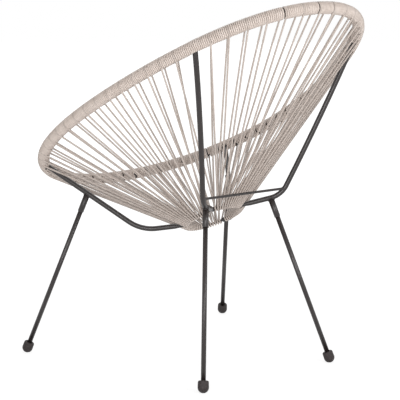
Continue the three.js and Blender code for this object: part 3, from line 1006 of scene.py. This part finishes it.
class CHAIR_OT_legs(Operator):
    """Adds the sockets, the legs that plug into them and the rubber foot caps"""

    bl_idname = "chair.legs"
    bl_label = "Legs"

    def socket_profile(self, low, high):
        """Half outline of a socket: a short pipe with its lower edges broken."""
        bore = LEG_RADIUS + SEATING_GAP
        return [
            (bore, high),
            (bore, low + SOCKET_EDGE),
            (bore + SOCKET_EDGE, low),
            (SOCKET_RADIUS - SOCKET_EDGE, low),
            (SOCKET_RADIUS, low + SOCKET_EDGE),
            (SOCKET_RADIUS, high),
            (bore, high),
        ]

    def leg_profile(self, low, high):
        """Half outline of a leg, a plain pipe."""
        inside = LEG_RADIUS - LEG_WALL
        return [
            (inside, low),
            (LEG_RADIUS, low),
            (LEG_RADIUS, high),
            (inside, high),
            (inside, low),
        ]

    def cap_profile(self, upright):
        """Half outline of a cap: a round toe that dips below the floor, a straight flank and a lip."""
        hole = LEG_RADIUS + SEATING_GAP
        lip = CAP_RADIUS * CAP_LIP_SHARE
        shoulder = CAP_HEIGHT - CAP_LIP_ROUND
        belly = (CAP_RADIUS - CAP_TREAD_CUT) / upright
        profile = []
        for k in range(CAP_STEPS + 1):
            turn = HALF_TURN / 2 * k / CAP_STEPS
            profile.append((CAP_RADIUS * math.sin(turn), belly - CAP_RADIUS * math.cos(turn)))
        profile.append((lip, shoulder))
        for k in range(1, CAP_STEPS + 1):
            turn = HALF_TURN / 2 * k / CAP_STEPS
            reach = lip - CAP_LIP_ROUND * (1 - math.cos(turn))
            profile.append((reach, shoulder + CAP_LIP_ROUND * math.sin(turn)))
        profile += [
            (hole + CAP_MOUTH_CHAMFER, CAP_HEIGHT),
            (hole, CAP_HEIGHT - CAP_MOUTH_CHAMFER),
            (hole, CAP_FLOOR),
            (0, CAP_FLOOR),
        ]
        return profile

    def flatten_foot(self, mesh):
        """Cuts the cap's toe off flat at the floor."""
        bm = bmesh.new()
        bm.from_mesh(mesh)
        cut = bmesh.ops.bisect_plane(
            bm,
            geom=bm.verts[:] + bm.edges[:] + bm.faces[:],
            plane_co=(0, 0, 0),
            plane_no=(0, 0, -1),
            clear_outer=True,
        )
        tread = [item for item in cut["geom_cut"] if isinstance(item, bmesh.types.BMEdge)]
        bmesh.ops.edgeloop_fill(bm, edges=tread)
        bmesh.ops.recalc_face_normals(bm, faces=bm.faces[:])
        bm.to_mesh(mesh)
        bm.free()

    def add_leg(self, end, word):
        """Adds one leg with its socket and cap."""
        top, foot = leg_line(end, word)
        height = (top - foot).length
        low = height - SOCKET_LENGTH
        name = f"{end}_socket_{word}"
        profile = self.socket_profile(low, height - SOCKET_TOP_SETBACK)
        mesh = turned_mesh(name, profile, foot, top)
        link_mesh(name, mesh, coat(), [f"{end}_leg_socket_{word}"])
        name = f"{end}_leg_tube_{word}"
        profile = self.leg_profile(CAP_FLOOR + SEATING_GAP, low + LEG_INSERTION)
        mesh = turned_mesh(name, profile, foot, top)
        link_mesh(name, mesh, coat(), [f"{end}_leg_{word}"])
        name = f"{end}_cap_{word}"
        profile = self.cap_profile((top - foot).z / height)
        mesh = turned_mesh(name, profile, foot, top)
        self.flatten_foot(mesh)
        link_mesh(name, mesh, rubber(), [f"{end}_foot_cap_{word}"])

    def execute(self, context):
        for end in ENDS:
            for word, _ in SIDES:
                self.add_leg(end, word)
        return {"FINISHED"}


class CHAIR_OT_stage(Operator):
    """Sets the floor, the lamps, the sky and the camera"""

    bl_idname = "chair.stage"
    bl_label = "Stage"

    def white_for_camera(self, tree, lit, surface):
        """Joins a lit shader, for diffuse and shadow rays, to the surface.

        The mix that it returns still needs the shader that the camera, gloss and glass see.
        """
        nodes, links = tree.nodes, tree.links
        rays = nodes.new("ShaderNodeLightPath")
        seen = rays.outputs["Is Camera Ray"]
        for output in ("Is Glossy Ray", "Is Transmission Ray"):
            add = nodes.new("ShaderNodeMath")
            add.operation = "MAXIMUM"
            links.new(seen, add.inputs[0])
            links.new(rays.outputs[output], add.inputs[1])
            seen = add.outputs[0]
        mix = nodes.new("ShaderNodeMixShader")
        links.new(lit, mix.inputs[1])
        links.new(seen, mix.inputs[0])
        links.new(mix.outputs[0], surface)
        return mix

    def floor(self):
        bm = bmesh.new()
        bmesh.ops.create_circle(bm, cap_ends=True, segments=FLOOR_SIDES, radius=FLOOR_RADIUS)
        mesh = bpy.data.meshes.new("floor")
        bm.to_mesh(mesh)
        bm.free()
        floor = bpy.data.objects.new("floor", mesh)
        floor.location.z = -FLOOR_DROP
        bpy.context.scene.collection.objects.link(floor)
        material = bpy.data.materials.new("floor")
        material.use_nodes = True
        tree = material.node_tree
        tree.nodes.clear()
        output = tree.nodes.new("ShaderNodeOutputMaterial")
        matt = tree.nodes.new("ShaderNodeBsdfDiffuse")
        matt.inputs["Color"].default_value = (*grey(FLOOR_GREY), 1)
        glow = tree.nodes.new("ShaderNodeEmission")
        glow.inputs["Color"].default_value = (1, 1, 1, 1)
        glow.inputs["Strength"].default_value = FLOOR_GLOW
        coordinates = tree.nodes.new("ShaderNodeTexCoord")
        spot = tree.nodes.new("ShaderNodeMapping")
        spot.inputs["Scale"].default_value = grey(1 / SHADOW_REACH)
        fade = tree.nodes.new("ShaderNodeTexGradient")
        fade.gradient_type = "SPHERICAL"
        share = tree.nodes.new("ShaderNodeMapRange")
        share.inputs["To Min"].default_value = 1.0
        share.inputs["To Max"].default_value = SHADOW_COVER
        tree.links.new(coordinates.outputs["Object"], spot.inputs["Vector"])
        tree.links.new(spot.outputs["Vector"], fade.inputs["Vector"])
        tree.links.new(fade.outputs["Fac"], share.inputs["Value"])
        blend = tree.nodes.new("ShaderNodeMixShader")
        tree.links.new(share.outputs["Result"], blend.inputs[0])
        tree.links.new(matt.outputs[0], blend.inputs[1])
        tree.links.new(glow.outputs[0], blend.inputs[2])
        mix = self.white_for_camera(tree, matt.outputs[0], output.inputs["Surface"])
        tree.links.new(blend.outputs[0], mix.inputs[2])
        mesh.materials.append(material)

    def sky(self, strength):
        world = bpy.data.worlds.new("sky")
        world.use_nodes = True
        tree = world.node_tree
        tree.nodes.clear()
        output = tree.nodes.new("ShaderNodeOutputWorld")
        dim = tree.nodes.new("ShaderNodeBackground")
        dim.inputs["Color"].default_value = (1, 1, 1, 1)
        dim.inputs["Strength"].default_value = strength
        white = tree.nodes.new("ShaderNodeBackground")
        white.inputs["Color"].default_value = (1, 1, 1, 1)
        white.inputs["Strength"].default_value = 1.0
        mix = self.white_for_camera(tree, dim.outputs[0], output.inputs["Surface"])
        tree.links.new(white.outputs[0], mix.inputs[2])
        bpy.context.scene.world = world

    def lamp(self, name, place, size, power, aim):
        data = bpy.data.lights.new(name, "AREA")
        data.shape = "DISK"
        data.size = size
        data.energy = power
        lamp = bpy.data.objects.new(name, data)
        lamp.location = place
        lamp.rotation_euler = (aim - place).to_track_quat("-Z", "Y").to_euler()
        bpy.context.scene.collection.objects.link(lamp)

    def execute(self, context):
        stage = context.scene.chair_stage
        aim = Vector(stage.target)
        flat = math.cos(stage.elevation)
        across = flat * math.sin(stage.azimuth)
        away = flat * math.cos(stage.azimuth)
        back = Vector((across, -away, math.sin(stage.elevation)))
        data = bpy.data.cameras.new("camera")
        data.lens = stage.lens
        data.sensor_width = 36
        data.clip_end = 100
        camera = bpy.data.objects.new("camera", data)
        camera.location = aim + back * stage.distance
        camera.rotation_euler = (-back).to_track_quat("-Z", "Y").to_euler()
        context.scene.collection.objects.link(camera)
        context.scene.camera = camera
        right = Vector((math.cos(stage.azimuth), math.sin(stage.azimuth), 0))
        up = Vector((0, 0, 1))
        for name, ((behind, aside, above), size) in LAMPS.items():
            place = aim + back * behind + right * aside + up * above
            self.lamp(name, place, size, getattr(stage, name), aim)
        self.floor()
        self.sky(stage.sky)
        context.scene.view_settings.view_transform = "Standard"
        return {"FINISHED"}


class CHAIR_PT_panel(Panel):
    """Lists the chair's pieces"""

    bl_label = "Cord Chair"
    bl_idname = "CHAIR_PT_panel"
    bl_space_type = "VIEW_3D"
    bl_region_type = "UI"
    bl_category = "Cord Chair"

    def draw(self, context):
        layout = self.layout
        for name in GROUPS:
            group = getattr(context.scene, name)
            box = layout.box()
            for key in group.bl_rna.properties.keys():
                if key not in ("rna_type", "name"):
                    box.prop(group, key)
        for operator in OPERATORS:
            layout.operator(operator.bl_idname)


OPERATORS = (
    CHAIR_OT_stage,
    CHAIR_OT_rim,
    CHAIR_OT_winding,
    CHAIR_OT_web,
    CHAIR_OT_seat_ring,
    CHAIR_OT_arms,
    CHAIR_OT_legs,
)
GROUPS = {"chair_cord": CordSettings, "chair_frame": FrameSettings, "chair_stage": StageSettings}


def register():
    for group in GROUPS.values():
        bpy.utils.register_class(group)
    for name, group in GROUPS.items():
        setattr(bpy.types.Scene, name, PointerProperty(type=group))
    for operator in OPERATORS:
        bpy.utils.register_class(operator)
    bpy.utils.register_class(CHAIR_PT_panel)


def unregister():
    bpy.utils.unregister_class(CHAIR_PT_panel)
    for operator in reversed(OPERATORS):
        bpy.utils.unregister_class(operator)
    for name in GROUPS:
        delattr(bpy.types.Scene, name)
    for group in reversed(GROUPS.values()):
        bpy.utils.unregister_class(group)


def main():
    register()
    bpy.ops.chair.stage()
    bpy.ops.chair.rim()
    bpy.ops.chair.winding()
    bpy.ops.chair.web()
    bpy.ops.chair.seat_ring()
    bpy.ops.chair.arms()
    bpy.ops.chair.legs()


if __name__ == "__main__":
    main()
